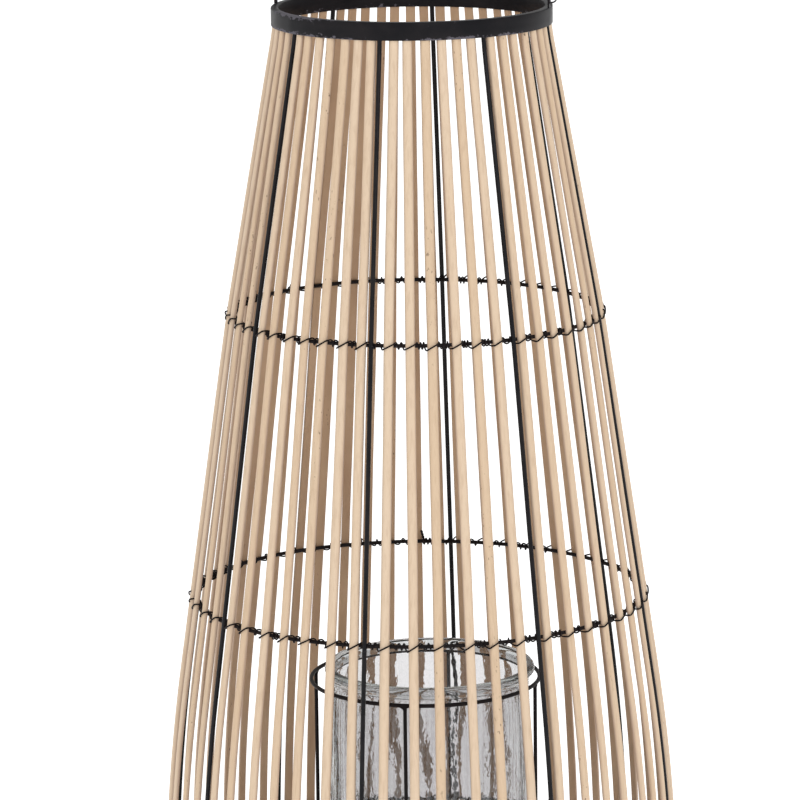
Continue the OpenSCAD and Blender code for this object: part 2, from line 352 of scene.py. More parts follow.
def caneMaterial():
    m = Nodes("splitCane")
    data = m.add("Attribute", {"attribute_name": "caneData"})
    parts = m.add("SeparateColor", Color=(data, "Color"))
    tone, seed, crown = (parts, "Red"), (parts, "Green"), (parts, "Blue")
    shift = (m.add("CombineXYZ", X=m.math("MULTIPLY", seed, 3.1), Y=m.math("MULTIPLY", seed, 1.7),
                   Z=m.math("MULTIPLY", seed, 5.3)), "Vector")
    fibre = m.noise(m.place((1.0, 1.0, 0.02), shift), 2600.0, 4.0, 0.6)
    streak = m.noise(m.place((1.0, 1.0, 0.035), shift), 620.0, 3.0, 0.55)
    cloud = m.noise(m.place((1.0, 1.0, 0.3), shift), 45.0, 3.0, 0.55)
    spots = m.noise(m.place((1.0, 1.0, 0.45), shift), 700.0, 2.0, 0.5)
    patches = m.noise(m.place((1.0, 1.0, 0.5), shift), 16.0, 2.0, 0.5)

    outer = m.mix(m.math("ADD", m.math("MULTIPLY", tone, 0.7), m.math("MULTIPLY", cloud, 0.4), True),
                  caneLook["crown"], caneLook["crownWarm"])
    # painted shade: the colour goes over to the edge colour towards the sides of the cane's rounded back
    rim = m.ramp(crown, [(0.0, white), (0.2, (0.75, 0.75, 0.75)), (0.62, (0.08, 0.08, 0.08)), (1.0, black)])
    outer = m.mix(rim, outer, caneLook["edge"])
    # the flat inner faces get the inner colours, the cane's own browner side plus painted shade, varied at
    # random by the cloud noise
    shade = m.ramp(cloud, [(0.35, black), (0.75, white)])
    inner = m.mix(shade, caneLook["inner"], caneLook["innerDarkAndShade"])
    innerMask = m.math("LESS_THAN", (data, "Alpha"), 0.5)
    color = m.mix(innerMask, outer, inner)
    lines = m.ramp(streak, [(0.48, black), (0.72, (0.36, 0.36, 0.36))])
    color = m.mix(lines, color, caneLook["grain"])
    hairs = m.ramp(fibre, [(0.5, black), (0.8, (0.24, 0.24, 0.24))])
    color = m.mix(hairs, color, caneLook["grain"])
    # mould flecks come in patches and only on some canes
    spotMask = m.ramp(spots, [(0.66, black), (0.72, white)])
    patchMask = m.ramp(patches, [(0.52, black), (0.62, white)])
    someCanes = m.math("GREATER_THAN", tone, 0.55)
    stained = m.math("MULTIPLY", m.math("MULTIPLY", spotMask, patchMask), someCanes)
    color = m.mix(m.math("MULTIPLY", stained, 0.75), color, caneLook["fleck"])

    height = m.math("ADD", m.math("MULTIPLY", fibre, 0.5), m.math("MULTIPLY", streak, 0.8))
    bump = m.add("Bump", Strength=0.35, Distance=0.0002, Height=height)
    rough = m.math("ADD", m.math("MULTIPLY", streak, 0.25), caneLook["roughness"] - 0.12)
    shader = m.add("BsdfPrincipled", Base_Color=color, Roughness=rough, Normal=(bump, "Normal"))
    shader.inputs["Specular IOR Level"].default_value = 0.38
    return m.finish(shader)


grime = linear(60, 54, 54)


def paintMaterial(name, color, scuff, roughness, wear, shine, coat=0.0):
    # black paint over steel: brush haze, small runs, and scuffs where the "wear" attribute is high
    m = Nodes(name)
    data = m.add("Attribute", {"attribute_name": "wear"})
    haze = m.noise(m.place((1.0, 1.0, 1.0)), 60.0, 4.0, 0.6)
    speck = m.noise(m.place((1.0, 1.0, 1.0)), 900.0, 3.0, 0.6)
    chip = m.noise(m.place((1.0, 1.0, 1.6)), 260.0, 4.0, 0.65)
    base = m.mix(m.ramp(haze, [(0.4, black), (0.75, white)]), color, grime)
    base = m.mix(0.78, base, color)
    worn = m.math("ADD", chip, m.math("MULTIPLY", (data, "Fac"), wear))
    mask = m.ramp(worn, [(0.74, black), (0.8, white)])
    base = m.mix(mask, base, scuff)
    rough = m.math("ADD", m.math("MULTIPLY", haze, 0.3), roughness - 0.12)
    rough = m.math("ADD", rough, m.math("MULTIPLY", mask, 0.25), True)
    lift = m.math("SUBTRACT", m.math("MULTIPLY", haze, 1.2), m.math("MULTIPLY", mask, 0.9))
    lift = m.math("ADD", lift, m.math("MULTIPLY", speck, 0.25))
    bump = m.add("Bump", Strength=0.3, Distance=0.0002, Height=lift)
    shader = m.add("BsdfPrincipled", Base_Color=base, Roughness=rough, Normal=(bump, "Normal"))
    shader.inputs["Specular IOR Level"].default_value = shine
    shader.inputs["Coat Weight"].default_value = coat
    shader.inputs["Coat Roughness"].default_value = 0.18
    return m.finish(shader)


glassLook = {
    "clear": linear(228, 224, 226),
    "seed": linear(214, 212, 214),
    "depth": linear(196, 204, 201),
    "density": 170.0,
    "ior": 1.5,
}


def glassMaterial():
    m = Nodes("hammeredGlass")
    ripples = m.noise(m.place((1.0, 1.0, 0.35)), 60.0, 1.0, 0.4)
    dimples = m.noise(m.place((1.0, 1.0, 0.6)), 240.0, 2.0, 0.5)
    seeds = m.noise(m.place((1.0, 1.0, 1.0)), 800.0, 1.0, 0.4)
    height = m.math("ADD", ripples, m.math("MULTIPLY", dimples, 0.22))
    bump = m.add("Bump", Strength=0.26, Distance=0.0013, Height=height)
    tint = m.mix(m.ramp(seeds, [(0.55, black), (0.8, white)]), glassLook["clear"], glassLook["seed"])
    rough = m.math("MULTIPLY", seeds, 0.06)
    shader = m.add("BsdfPrincipled", Base_Color=tint, Roughness=rough, Normal=(bump, "Normal"))
    shader.inputs["Transmission Weight"].default_value = 1.0
    shader.inputs["IOR"].default_value = glassLook["ior"]
    depth = m.add("VolumeAbsorption")
    depth.inputs["Color"].default_value = glassLook["depth"]
    depth.inputs["Density"].default_value = glassLook["density"]
    m.tree.links.new(depth.outputs["Volume"], m.out.inputs["Volume"])
    return m.finish(shader)


looks = {
    "cane": caneMaterial(),
    # paints: name, colour, colour where scuffed, roughness, wear, shine
    "band": paintMaterial("bandPaint", linear(15, 14, 18), linear(88, 85, 92), 0.42, 0.5, 0.12),
    "upright": paintMaterial("glossPaint", linear(10, 10, 14), linear(60, 57, 62), 0.26, 0.2, 0.16, 0.05),
    "ring": paintMaterial("ringPaint", linear(20, 15, 16), linear(66, 54, 48), 0.46, 0.25, 0.1),
    "tie": paintMaterial("tieWire", linear(20, 14, 15), linear(62, 48, 44), 0.5, 0.2, 0.1),
    "bail": paintMaterial("bailPaint", linear(16, 15, 18), linear(88, 84, 88), 0.4, 0.3, 0.16),
    "jump": paintMaterial("wornSteel", linear(40, 38, 40), linear(150, 146, 144), 0.34, 0.45, 0.5),
    "glass": glassMaterial(),
}
print("materials ready")


# canes

canes = {
    "width": 5.5 * mm,
    "thickness": 2.6 * mm,
    "wideBay": 7,
    "narrowBay": 6,
    "wideEdge": 2.75,         # degrees from an upright to the next cane
    "narrowEdge": 4.9,
    "steps": 84,
    "arcPoints": 11,
    "wave": 0.22 * mm,
    "wander": 0.5,            # degrees that a cane stands out of its even place
    "tilt": 0.16,             # degrees, and more for the two beside the uprights
    "edgeTilt": 0.2,
    "endHold": 30 * mm,       # the bands and rings keep a cane from waving this far off
    "ringHold": 50 * mm,
    "seed": 31,
}
bayAngle = 360 / cage["bars"]
wideBays = (1, 2, 5, 7)
uprightOff = (0, 2.3, 4.6, 4.1, 0, 1.2, 0, -1.2, 0)      # degrees out of an even spacing


def uprightAngle(i):
    return i * bayAngle + uprightOff[i]


def bayPlan():
    plan = []
    for bay in range(cage["bars"]):
        count = canes["wideBay"] if bay in wideBays else canes["narrowBay"]
        edge = canes["wideEdge"] if bay in wideBays else canes["narrowEdge"]
        pitch = (uprightAngle(bay + 1) - uprightAngle(bay) - 2 * edge) / (count - 1)
        for k in range(count):
            n = math.radians(7 * bay + k)
            wander = canes["wander"] * math.sin(137.5 * n)
            tilt = canes["tilt"] * math.sin(222.5 * n + math.radians(40))
            if k in (0, count - 1):
                wander = 0.0
                tilt = canes["edgeTilt"] if k == 0 else -canes["edgeTilt"]
            plan.append((bay, uprightAngle(bay) + edge + k * pitch + wander, tilt))
    return plan


canePlan = bayPlan()
pivotHeight = ringHeights[1]      # a tilted cane crosses its own place here


def caneOffset(tilt, z):
    return (z - pivotHeight) * math.tan(math.radians(tilt))


def caneAngleAt(j, z):
    turns, k = divmod(j, len(canePlan))
    _, angle, tilt = canePlan[k]
    return angle + math.degrees(math.atan(caneOffset(tilt, z) / sideRadius(z))) + 360 * turns


def endFreedom(z):
    # none where the bands hold the ends, all of it a little way off
    return min(1.0, abs(z - canesTop) / canes["endHold"], abs(z - cage["footGap"]) / canes["endHold"])


def addCane(verts, faces, data, angle, tilt, rng):
    width = canes["width"] * rng.uniform(0.95, 1.0)
    depth = canes["thickness"]
    crownPower = rng.uniform(0.7, 0.9)         # how flat the split cane's back is
    lean = rng.uniform(-0.12, 0.12)            # crown a little to one side
    tone, seed = rng.random(), rng.random()
    phase = rng.uniform(0, 50)
    knots = [rng.uniform(0.04, 0.62) for _ in range(2)]      # heights of faint swellings
    a = math.radians(angle)
    outward, sideways = Vector((math.cos(a), math.sin(a), 0)), Vector((-math.sin(a), math.cos(a), 0))
    start = len(verts)
    n = canes["arcPoints"]
    ringSize = n + 3
    for i in range(canes["steps"] + 1):
        z = canesTop + (cage["footGap"] - canesTop) * i / canes["steps"]
        free = endFreedom(z)
        for ringZ in ringHeights:
            free = min(free, 0.15 + abs(z - ringZ) / canes["ringHold"])
        wave = canes["wave"] * free * noise.noise(Vector((phase, z * 9, 0.0)))
        swing = 2.0 * canes["wave"] * free * noise.noise(Vector((phase, z * 7, 7.0)))
        swell = 1 + sum(0.045 * math.exp(-((z - k) / (2.2 * mm)) ** 2) for k in knots)
        w = 0.5 * width * swell * (1 + 0.05 * noise.noise(Vector((phase, z * 16, 3.0))))
        w = min(w, 0.5 * canes["width"] * 1.03)
        face = sideRadius(z) - depth + min(wave, 0.0)
        back = depth * (0.97 + 0.03 * noise.noise(Vector((phase, z * 22, 5.0))))
        centre = sideways * (caneOffset(tilt, z) + swing)
        for k in range(n):
            u = -math.pi / 2 + math.pi * k / (n - 1)
            high = 0.14 + 0.86 * abs(math.cos(u)) ** crownPower
            x = face + back * high * (1 + lean * math.sin(u) * math.cos(u))
            x = min(x, sideRadius(z) - 0.02 * mm)
            verts.append(centre + outward * x + sideways * (w * math.sin(u)) + Vector((0, 0, z)))
            data.append((tone, seed, abs(math.cos(u)), 1.0))
        for across in (0.9, 0.0, -0.9):
            verts.append(centre + outward * face + sideways * (w * across) + Vector((0, 0, z)))
            data.append((tone, seed, 0.5, 0.0))
    addQuadStrip(faces, start, canes["steps"] + 1, ringSize, False)
    first = [start + k for k in range(ringSize)]
    last = [start + canes["steps"] * ringSize + k for k in range(ringSize)]
    faces.append(first[::-1])
    faces.append(last)


def buildCanes():
    rng = random.Random(canes["seed"])
    for bay in range(cage["bars"]):
        verts, faces, data = [], [], []
        for b, angle, tilt in canePlan:
            if b == bay:
                addCane(verts, faces, data, angle, tilt, rng)
        faces = [tuple(reversed(f)) for f in faces]
        piece = newPiece(f"canes_{bay + 1}", verts, faces, "cage", looks["cane"],
                         [f"cane_bay_{bay + 1}"])
        paintPoints(piece, "caneData", data)
        sharpenBy(piece, 50)


buildCanes()
print("canes built:", len(canePlan))


# uprights

uprights = {
    "diameter": 2.6 * mm,
    "steps": 90,
    "sides": 16,
    "drift": 0.1 * mm,
    "straightEnd": 20 * mm,
    "weldWear": 6 * mm,       # the paint is scuffed this far from a weld
}


def uprightRadius(z):
    return sideRadius(z) - canes["thickness"] + uprights["diameter"] / 2


def buildUprights():
    for i in range(cage["bars"]):
        angle = uprightAngle(i)
        path = []
        for k in range(uprights["steps"] + 1):
            z = cage["footGap"] + (canesTop - cage["footGap"]) * k / uprights["steps"]
            drift = 0.0
            if min(abs(z - canesTop), abs(z - cage["footGap"])) > uprights["straightEnd"]:
                drift = uprights["drift"] * noise.noise(Vector((i * 3.0, z * 8, 1.0))) * endFreedom(z)
            # the sideways drift as an angle, at a radius of about 100 mm
            path.append(polar(angle + math.degrees(drift / (100 * mm)), uprightRadius(z), z))
        verts, faces = [], []
        addTube(verts, faces, path, uprights["diameter"] / 2, uprights["sides"],
                away=steady(polar(angle, 1.0, 0.0)))
        piece = newPiece(f"upright_bar_{i + 1}", verts, faces, "cage", looks["upright"],
                         [f"upright_{i + 1}"])
        near = [max(0.0, 1 - min(abs(v.z - z) for z in ringHeights) / uprights["weldWear"]) for v in verts]
        paintPoints(piece, "wear", [(n, n, n, 1.0) for n in near])


buildUprights()
print("uprights built")


# wire rings and their welds

ringWire = {"diameter": 2.2 * mm, "steps": 360, "sides": 12, "weld": 1.9 * mm}


def ringRadius(z):
    return sideRadius(z) - canes["thickness"] - ringWire["diameter"] / 2 / math.cos(sideLean(z)) - 0.02 * mm


def radialFrom(centre):
    return lambda p: Vector((p.x - centre[0], p.y - centre[1], 0.0)).normalized()


def buildRings():
    for n, (name, z) in enumerate(zip(ringNames, ringHeights)):
        verts, faces = [], []
        path = circlePath(ringRadius(z), z, ringWire["steps"], wobble=0.15 * mm, seed=n * 5.0)
        addTube(verts, faces, path, ringWire["diameter"] / 2, ringWire["sides"], closed=True,
                away=radialFrom((0.0, 0.0)))
        for i in range(cage["bars"]):
            at = polar(uprightAngle(i), ringRadius(z) + ringWire["diameter"] * 0.55, z + 0.4 * mm)
            addBlob(verts, faces, at, ringWire["weld"], n * 10.0 + i, (0.85, 0.95, 1.1))
        newPiece(name + "_ring_wire", verts, faces, "cage", looks["ring"], [name + "_ring"])


buildRings()
print("rings built")


# binding wire

binding = {
    "diameter": 0.9 * mm,
    "sides": 8,
    "cuts": 4,
    "secondTurn": 0.4,        # how often the wire goes round the ring twice between canes
    "slack": 0.1,
    "tails": ((97.0, 4 * mm), (101.5, 7 * mm), (108.0, 5 * mm)),      # place and length of the twisted ends
    "tailTurns": 2.2,
    "seed": 17,
}


def bindingTurn(j, z, rng):
    # one turn for a cane: up across its face, over the ring, down behind it, out under it
    r = sideRadius(z)
    here, nxt = caneAngleAt(j, z), caneAngleAt(j + 1, z)
    rise = (ringWire["diameter"] + binding["diameter"]) / 2 / math.cos(math.radians(30))
    outer = r + binding["diameter"] / 2 + 0.02 * mm
    edge = math.degrees((canes["width"] / 2 + 0.5 * mm) / r)
    face = math.degrees(0.36 * canes["width"] / r)
    gap = nxt - here - 2 * edge
    low, high = rng.uniform(0.85, 1.2), rng.uniform(0.85, 1.25)
    # in the gap the wire goes round the ring once or twice more
    more = 1 if rng.random() < 1 - binding["secondTurn"] else 2
    cuts = 3 + 6 * more
    slack = rng.uniform(-binding["slack"], binding["slack"])
    wound = []
    for k in range(cuts + 1):
        t = k / cuts
        a = math.radians(90 + (180 + 360 * more) * t)
        across = t + slack * math.sin(math.pi * t)
        wound.append(polar(here + edge + gap * (0.1 + 0.8 * across),
                           ringRadius(z) + rise * math.cos(a), z + rise * math.sin(a)))
    return [
        polar(here - edge, r - 0.5 * mm, z - rise * low),
        polar(here - face, outer, z - 0.6 * rise * low),
        polar(here + face, outer, z + 0.6 * rise * high),
        polar(here + edge, r - 0.5 * mm, z + rise * high),
    ] + wound


def awayFromRing(z):
    r = ringRadius(z)
    return lambda p: p - Vector((p.x, p.y, 0)).normalized() * r - Vector((0, 0, z))


def twistedTail(angle, z, length, turns, steps):
    # two strands wound round each other, standing up from the ring
    strands = []
    for side in (0, 1):
        path = []
        for i in range(steps + 1):
            t = i / steps
            a = 2 * math.pi * (turns * t + 0.5 * side)
            lean = 0.25 * length * t
            centre = polar(angle, ringRadius(z) - 1.9 * mm, z + length * t)
            across = polar(angle + 90, 1.0, 0.0)
            outward = polar(angle, 1.0, 0.0)
            spread = 0.48 * mm * (1 - 0.25 * t)
            path.append(centre + across * (spread * math.cos(a) + lean) + outward * (spread * math.sin(a)))
        strands.append(path)
    return strands


def buildBindings():
    for n, (name, z) in enumerate(zip(ringNames, ringHeights)):
        rng = random.Random(binding["seed"] + n)
        points = []
        for j in range(len(canePlan)):
            points.extend(bindingTurn(j, z, rng))
        path = smoothPath(points, binding["cuts"], True)
        verts, faces = [], []
        addTube(verts, faces, path, binding["diameter"] / 2, binding["sides"],
                closed=True, away=awayFromRing(z))
        angle, length = binding["tails"][n]
        for strand in twistedTail(angle, z, length, binding["tailTurns"], 26):
            addTube(verts, faces, strand, binding["diameter"] / 2, binding["sides"],
                    away=steady(polar(angle + 35, 1.0, 0.3)))
        newPiece(name + "_binding_wire", verts, faces, "cage", looks["tie"],
                 [name + "_binding"])


buildBindings()
print("bindings built")


# bands

bands = {
    "strip": 0.8 * mm,
    "steps": 288,
    "edge": 0.22 * mm,
    "pull": 0.18 * mm,        # how far the hoop is drawn in at each bar
    "pullReach": 3.0,         # degrees to either side of the bar
    "lap": 0.35 * mm,
    "weldAngle": 158.0,
    "scrapeAngle": 226.0,
    "scrapeReach": 24.0,
}


def buildBand(name, node, rInner, rOuter, z0, z1, pulled, seed, foldTo=None):
    # a rounded strip bent to a hoop, a little flat between the bars and with its welded lap
    e = bands["edge"]
    mid = (rInner + rOuter) / 2
    tall = z1 - z0
    section = [
        (rInner + e, z0), (mid, z0), (rOuter - e, z0), (rOuter - 0.3 * e, z0 + 0.3 * e),
        (rOuter, z0 + e), (rOuter, z0 + 0.35 * tall), (rOuter, z0 + 0.65 * tall), (rOuter, z1 - e),
        (rOuter - 0.3 * e, z1 - 0.3 * e), (rOuter - e, z1), (mid, z1), (rInner + e, z1),
        (rInner + 0.3 * e, z1 - 0.3 * e), (rInner, z1 - e), (rInner, z0 + 0.5 * tall), (rInner, z0 + e),
        (rInner + 0.3 * e, z0 + 0.3 * e),
    ]
    if foldTo:
        # the upper edge is turned in over the ends of the canes
        under = z1 - bands["strip"]
        section = section[:7] + [
            (rOuter, z1 - 2.6 * e), (rOuter - 0.35 * e, z1 - 1.2 * e), (rOuter - 1.2 * e, z1 - 0.35 * e),
            (rOuter - 2.6 * e, z1), ((rOuter + foldTo) / 2, z1), (foldTo + e, z1), (foldTo, z1 - e),
            (foldTo + 0.3 * e, under), (rInner, under), (rInner, z0 + 0.5 * tall), (rInner, z0 + e),
            (rInner + 0.3 * e, z0 + 0.3 * e),
        ]
    verts, faces, wear = [], [], []
    for i in range(bands["steps"]):
        angle = 360 * i / bands["steps"]
        nearBar = abs((angle + bayAngle / 2) % bayAngle - bayAngle / 2)
        flat = bands["pull"] * pulled * (1 - math.exp(-(nearBar / bands["pullReach"]) ** 2))
        dent = bands["pull"] * 0.8 * noise.noise(polar(angle, 2.2, seed))
        seam = bands["lap"] * pulled * math.exp(-((angle - bands["weldAngle"]) / 1.1) ** 2)
        for r, z in section:
            inwards = flat + max(dent, 0.0) - seam * 0.5
            lift = 0.12 * mm * noise.noise(polar(angle, 3.0, seed + 4)) * (1 if z > (z0 + z1) / 2 else 0)
            verts.append(polar(angle, min(r - inwards, rOuter), z + min(lift, 0.0)))
            edgeNear = max(0.0, 1 - min(z - z0, z1 - z) / (2.4 * mm))
            lower = 1.0 if z < (z0 + z1) / 2 else 0.45
            patch = 0.5 + 0.9 * noise.noise(polar(angle, 1.6, seed + 11))
            scraped = math.exp(-((angle - bands["scrapeAngle"]) / bands["scrapeReach"]) ** 2)
            scraped *= edgeNear * pulled * (0.9 + 0.5 * noise.noise(polar(angle, 9.0, seed)))
            value = max(0.0, edgeNear * lower * patch, scraped)
            wear.append((value, value, value, 1.0))
    addQuadStrip(faces, 0, bands["steps"], len(section), True)
    piece = newPiece(name, verts, faces, "cage", looks["band"], [node])
    paintPoints(piece, "wear", wear)
    sharpenBy(piece, 60)


def buildBands():
    for name, node, pulled, seed in (
        ("top_band_strip", "top_band", 1.0, 2.0),
        ("top_inner_strip", "top_inner_band", 0.3, 5.0),
        ("foot_band_strip", "foot_band", 0.6, 8.0),
        ("foot_inner_strip", "foot_inner_band", 0.3, 12.0),
    ):
        low, high = boxOf(node)
        rOuter = (high.x - low.x) / 2
        foldTo = None
        if node == "top_band":
            innerLow, innerHigh = boxOf("top_inner_band")
            foldTo = (innerHigh.x - innerLow.x) / 2 - bands["strip"]
        buildBand(name, node, rOuter - bands["strip"], rOuter, low.z, high.z, pulled, seed, foldTo)


buildBands()
print("bands built")


# foot bars and cradle

footBar = {"edge": 0.5 * mm, "segments": 40, "clearance": 0.1 * mm}


def buildFootBar(name, node, turned):
    low, high = boxOf(node)
    half = (high - low) / 2
    centre = (high + low) / 2
    along, across = (half.y, half.x) if turned else (half.x, half.y)
    e = footBar["edge"]
    h = half.z
    section = [(-across + e, -h), (across - e, -h), (across, -h + e), (across, h - e), (across - e, h),
               (0.3 * across, h), (-0.3 * across, h), (-across + e, h), (-across, h - e), (-across, -h + e)]
    verts, faces = [], []
    n = footBar["segments"]
    for i in range(n + 1):
        x = -along + 2 * along * i / n
        for y, z in section:
            # the ends are cut round, to the band
            cut = math.sqrt(max(along ** 2 - y ** 2, 0.0)) - footBar["clearance"]
            px = max(-cut, min(cut, x))
            verts.append(centre + (Vector((-y, px, z)) if turned else Vector((px, y, z))))
    addQuadStrip(faces, 0, n + 1, len(section), False)
    faces = [tuple(reversed(f)) for f in faces]
    faces.append(tuple(range(len(section))))
    faces.append(tuple(reversed(range(n * len(section), (n + 1) * len(section)))))
    piece = newPiece(name, verts, faces, "cage", looks["ring"], [node])
    sharpenBy(piece, 40)


buildFootBar("foot_bar_x", "base_bar_x", False)
buildFootBar("foot_bar_y", "base_bar_y", True)

cradle = {
    "wire": 2.3 * mm,
    "sides": 14,
    "ringSteps": 200,
    "barSteps": 40,
    "bars": 4,
    "fillet": 4.5 * mm,       # how far the weld metal runs out
    "bead": 1.12 * mm,
    "footBead": 1.9 * mm,
    "bend": 0.25 * mm,
}
cradleHigh = boxOf("cradle_ring")[1]
plateLow, plateHigh = boxOf("cradle_plate")
cradleCentre = ((plateLow.x + plateHigh.x) / 2, (plateLow.y + plateHigh.y) / 2)
cradleRadius = (plateHigh.x - plateLow.x) / 2 + cradle["wire"] / 2
cradleHeight = cradleHigh.z - cradle["wire"] / 2


def barFoot(i):
    low, high = boxOf(f"cradle_bar_{i + 1}")
    return Vector(((low.x + high.x) / 2, (low.y + high.y) / 2, low.z))


def buildCradleRing():
    verts, faces = [], []
    path = circlePath(cradleRadius, cradleHeight, cradle["ringSteps"], cradleCentre, 0.12 * mm, 3.0)
    addTube(verts, faces, path, cradle["wire"] / 2, cradle["sides"],
            closed=True, away=radialFrom(cradleCentre))
    for i in range(cradle["bars"]):
        foot = barFoot(i)
        angle = math.degrees(math.atan2(foot.y - cradleCentre[1], foot.x - cradleCentre[0]))
        tangent = polar(angle + 90, 1.0, 0.0)
        corner = Vector((foot.x, foot.y, cradleHeight))
        # weld metal runs out along the ring and down the bar, as a small gusset
        for side in (-1, 1):
            reach = cradle["fillet"] * (0.9 if side < 0 else 0.6)
            for k in range(6):
                t = k / 5
                out, down = side * reach * (1 - t) ** 2, reach * t ** 2 * 0.8
                size = cradle["bead"] * (0.85 + 0.3 * math.sin(math.pi * t))
                spot = corner + tangent * out - Vector((0, 0, down))
                addBlob(verts, faces, spot, size, i * 7.0 + k + side, (0.95, 0.95, 1.0))
    newPiece("cradle_hoop", verts, faces, "cage", looks["ring"], ["cradle_ring"])


def buildCradleBars():
    for i in range(cradle["bars"]):
        foot = barFoot(i)
        path = []
        for k in range(cradle["barSteps"] + 1):
            t = k / cradle["barSteps"]
            bend = cradle["bend"] * math.sin(math.pi * t)
            sway = [noise.noise(Vector((i, t * 3, row))) * bend for row in (0, 5)]
            path.append(foot + Vector((sway[0], sway[1], (cradleHeight - foot.z) * t)))
        verts, faces = [], []
        addTube(verts, faces, path, cradle["wire"] / 2 - 0.05 * mm, cradle["sides"],
                away=steady(Vector((1.0, 0.0, 0.0))), roundEnds=False)
        weld = foot + Vector((0, 0, 0.9 * mm))
        addBlob(verts, faces, weld, cradle["footBead"], i + 40.0, (1.0, 1.0, 0.6))
        newPiece(f"cradle_leg_{i + 1}", verts, faces, "cage", looks["ring"],
                 [f"cradle_bar_{i + 1}"])


plate = {"edge": 0.5 * mm, "groove": 0.3 * mm, "steps": 120}


def buildPlate():
    # pressed disc: flat seat, a shallow groove and a rolled edge
    r = cradleRadius - cradle["wire"] / 2
    top, low = plateHigh.z, plateLow.z
    edge, deep = plate["edge"], plate["groove"]
    section = [
        (0.5 * r, top), (r - 8 * mm, top), (r - 6 * mm, top - 5 / 6 * deep), (r - 4.6 * mm, top - deep),
        (r - 3.4 * mm, top - deep / 6), (r - edge, top), (r - 0.24 * edge, top - 0.3 * edge),
        (r, top - edge), (r - 0.24 * edge, low + 0.3 * edge), (r - edge, low), (0.5 * r, low),
    ]
    steps = plate["steps"]
    middle = Vector((*cradleCentre, 0))
    verts, faces = [middle + Vector((0, 0, top))], []
    for reach, z in section:
        verts.extend(middle + polar(360 * k / steps, reach, z) for k in range(steps))
    verts.append(middle + Vector((0, 0, low)))
    end = 1 + (len(section) - 1) * steps
    for k in range(steps):
        faces.append((0, 1 + k, 1 + (k + 1) % steps))
        faces.append((len(verts) - 1, end + (k + 1) % steps, end + k))
    for i in range(len(section) - 1):
        for k in range(steps):
            a, b = 1 + i * steps + k, 1 + i * steps + (k + 1) % steps
            faces.append((a, a + steps, b + steps, b))
    piece = newPiece("cradle_dish", verts, faces, "cage", looks["ring"], ["cradle_plate"])
    sharpenBy(piece, 40)


buildCradleRing()
buildCradleBars()
buildPlate()
print("cradle built")


# glass

jar = {
    "wall": 3 * mm,
    "floor": 6 * mm,
    "footDip": 0.6 * mm,      # the underside is a little hollow
    "rim": 3 * mm,
    "shoulder": 50 * mm,      # the wall draws in over this height, up to the neck
    "belowRing": 4 * mm,      # from the cradle's ring down to the neck
    "steps": 240,
    "ripple": 0.42 * mm,
}
glassLow, glassHigh = boxOf("glass")
glassCentre = Vector(((glassLow.x + glassHigh.x) / 2, (glassLow.y + glassHigh.y) / 2, 0.0))
rimRadius = (glassHigh.x - glassLow.x) / 2
neckHeight = cradleHeight - jar["belowRing"]


def jarOutline():
    # from the middle of the underside, up the outside, over the rim and down the inside
    low, top = glassLow.z, glassHigh.z
    body, neck, base = rimRadius - 2 * mm, rimRadius - 3.6 * mm, rimRadius - 9 * mm
    rimMid = top - jar["rim"]
    outside = [(base * 0.5, low + jar["footDip"]), (base - 3 * mm, low + 0.4 * mm), (base, low + 0.2 * mm),
               (base + 3.6 * mm, low + 2.2 * mm), (body - 1.6 * mm, low + 8 * mm)]
    for t in range(13):
        z = low + 14 * mm + (neckHeight - low - 14 * mm) * t / 12
        waist = math.sin(math.pi * min(1.0, (z - low) / (neckHeight - low)) * 0.5 + 0.2)
        slim = max(0.0, (z - neckHeight + jar["shoulder"]) / jar["shoulder"])
        outside.append((body - 0.5 * mm * (1 - waist) - (body - neck) * slim ** 1.6, z))
    rim = []
    for k in range(10):
        a = math.radians(-62 + 235 * k / 9)
        rim.append((rimRadius - jar["rim"] * (1 - 0.98 * math.cos(a)), rimMid + jar["rim"] * math.sin(a)))
    outside.append((neck + 0.3 * mm, rimMid - 5 * mm))
    inside = [(neck - jar["wall"] + 0.6 * mm, rimMid - 4.5 * mm)]
    for r, z in reversed(outside[5:18]):
        if z > low + 20 * mm:
            inside.append((r - jar["wall"], z))
    inside += [(body - jar["wall"] - 1.5 * mm, low + jar["floor"] + 8 * mm),
               (base - 1 * mm, low + jar["floor"] + 1.5 * mm), (base - 6 * mm, low + jar["floor"]),
               (base * 0.4, low + jar["floor"])]
    return outside + rim + inside


def clamp(value):
    return min(1.0, max(0.0, value))


def buildGlass():
    outline = jarOutline()
    steps = jar["steps"]
    verts, faces = [], []
    verts.append(glassCentre + Vector((0, 0, glassLow.z + jar["footDip"])))
    for i, (r, z) in enumerate(outline):
        inner = i > len(outline) * 0.62
        for k in range(steps):
            angle = 360 * k / steps
            # hammered walls, calmer at the rim and the floor
            rough = clamp((neckHeight + 6 * mm - z) / (16 * mm)) * clamp((z - glassLow.z) / (20 * mm))
            spot = polar(angle, r * 48, z * 16 + (40 if inner else 0))
            wave = noise.noise(spot) + 0.3 * noise.noise(spot * 2.1)
            push = jar["ripple"] * wave * (0.25 + 0.75 * rough)
            if not inner:
                push = min(push, 0.35 * mm) - 0.2 * mm
            verts.append(glassCentre + polar(angle, max(0.0, r + push), z))
    verts.append(glassCentre + Vector((0, 0, glassLow.z + jar["floor"])))
    rows = len(outline)
    for i in range(rows - 1):
        for k in range(steps):
            a, b = 1 + i * steps + k, 1 + i * steps + (k + 1) % steps
            faces.append((a, b, b + steps, a + steps))
    end = 1 + (rows - 1) * steps
    for k in range(steps):
        faces.append((0, 1 + (k + 1) % steps, 1 + k))
        faces.append((len(verts) - 1, end + k, end + (k + 1) % steps))
    piece = newPiece("candle_glass", verts, faces, "glass", looks["glass"], ["glass"])
    smoothing = piece.modifiers.new("soften", "SUBSURF")
    smoothing.levels = 1
    smoothing.render_levels = 1


buildGlass()
print("glass built")


# handle

